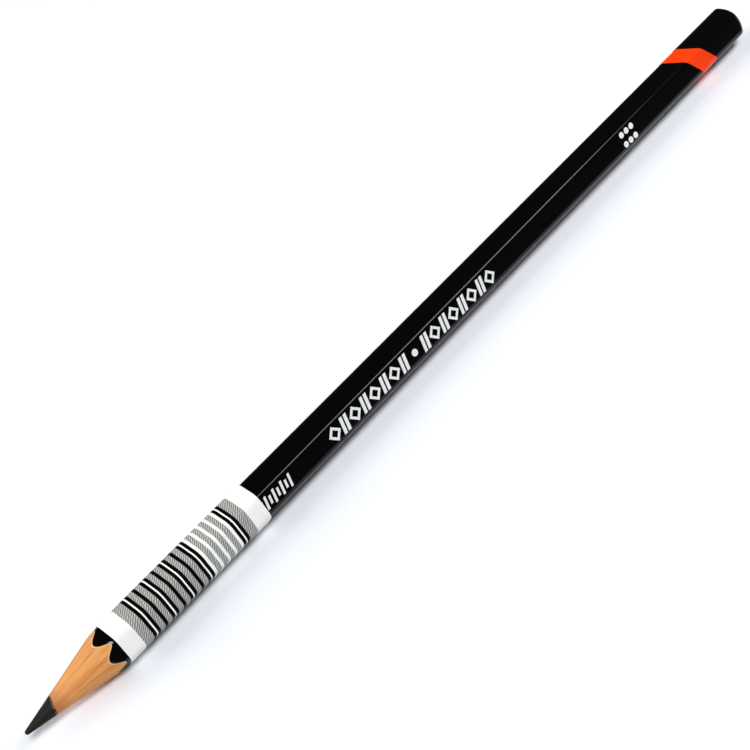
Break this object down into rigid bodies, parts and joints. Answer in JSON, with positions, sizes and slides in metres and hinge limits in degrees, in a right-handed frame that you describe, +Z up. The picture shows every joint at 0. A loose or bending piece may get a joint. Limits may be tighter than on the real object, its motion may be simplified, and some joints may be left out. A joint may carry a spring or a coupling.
{
  "type": "graphite pencil",
  "caption": "Hexagonal wood-cased graphite pencil, sharpened, black with an orange band, a domed end and a printed paper wrapper.",
  "frame": {"origin": "under the middle of the pencil, on the surface that it lies on", "axes": "+X along the pencil towards its blunt end, +Z up, and the pencil lies on one flat of its hexagon"},
  "size_m": [0.1762, 0.0076, 0.007],
  "materials": {
    "graphite": "fired graphite and clay, dark grey with a dull metallic sheen",
    "core_glue": "dried glue stained brown by wood and graphite",
    "cedar": "bare cedar, cut by the sharpener, straight fine grain",
    "wood_glue": "dried wood glue",
    "undercoat": "cream filler and primer",
    "black_gloss": "gloss black lacquer",
    "orange_gloss": "gloss orange-red lacquer",
    "white_paper": "smooth coated white paper",
    "paper_glue": "dried paper glue",
    "black_ink": "black printing ink in the paper's surface",
    "hatched_ink": "fine slanted black hatching on white paper",
    "white_foil": "stamped white pigment foil"
  },
  "bodies": {
    "root": {"graphite_core": "graphite", "core_bond": "core_glue", "casing_half_upper": "cedar", "casing_half_lower": "cedar", "slat_glue_front": "wood_glue", "slat_glue_back": "wood_glue", "undercoat": "undercoat", "black_lacquer": "black_gloss", "orange_dip": "orange_gloss", "black_end_dip": "black_gloss", "paper_band": "white_paper", "lap_glue": "paper_glue", "printed_bars": "black_ink", "printed_tints": "hatched_ink", "foil_ornament": "white_foil", "foil_pips": "white_foil", "foil_ticks": "white_foil"}
  },
  "joints": []
}
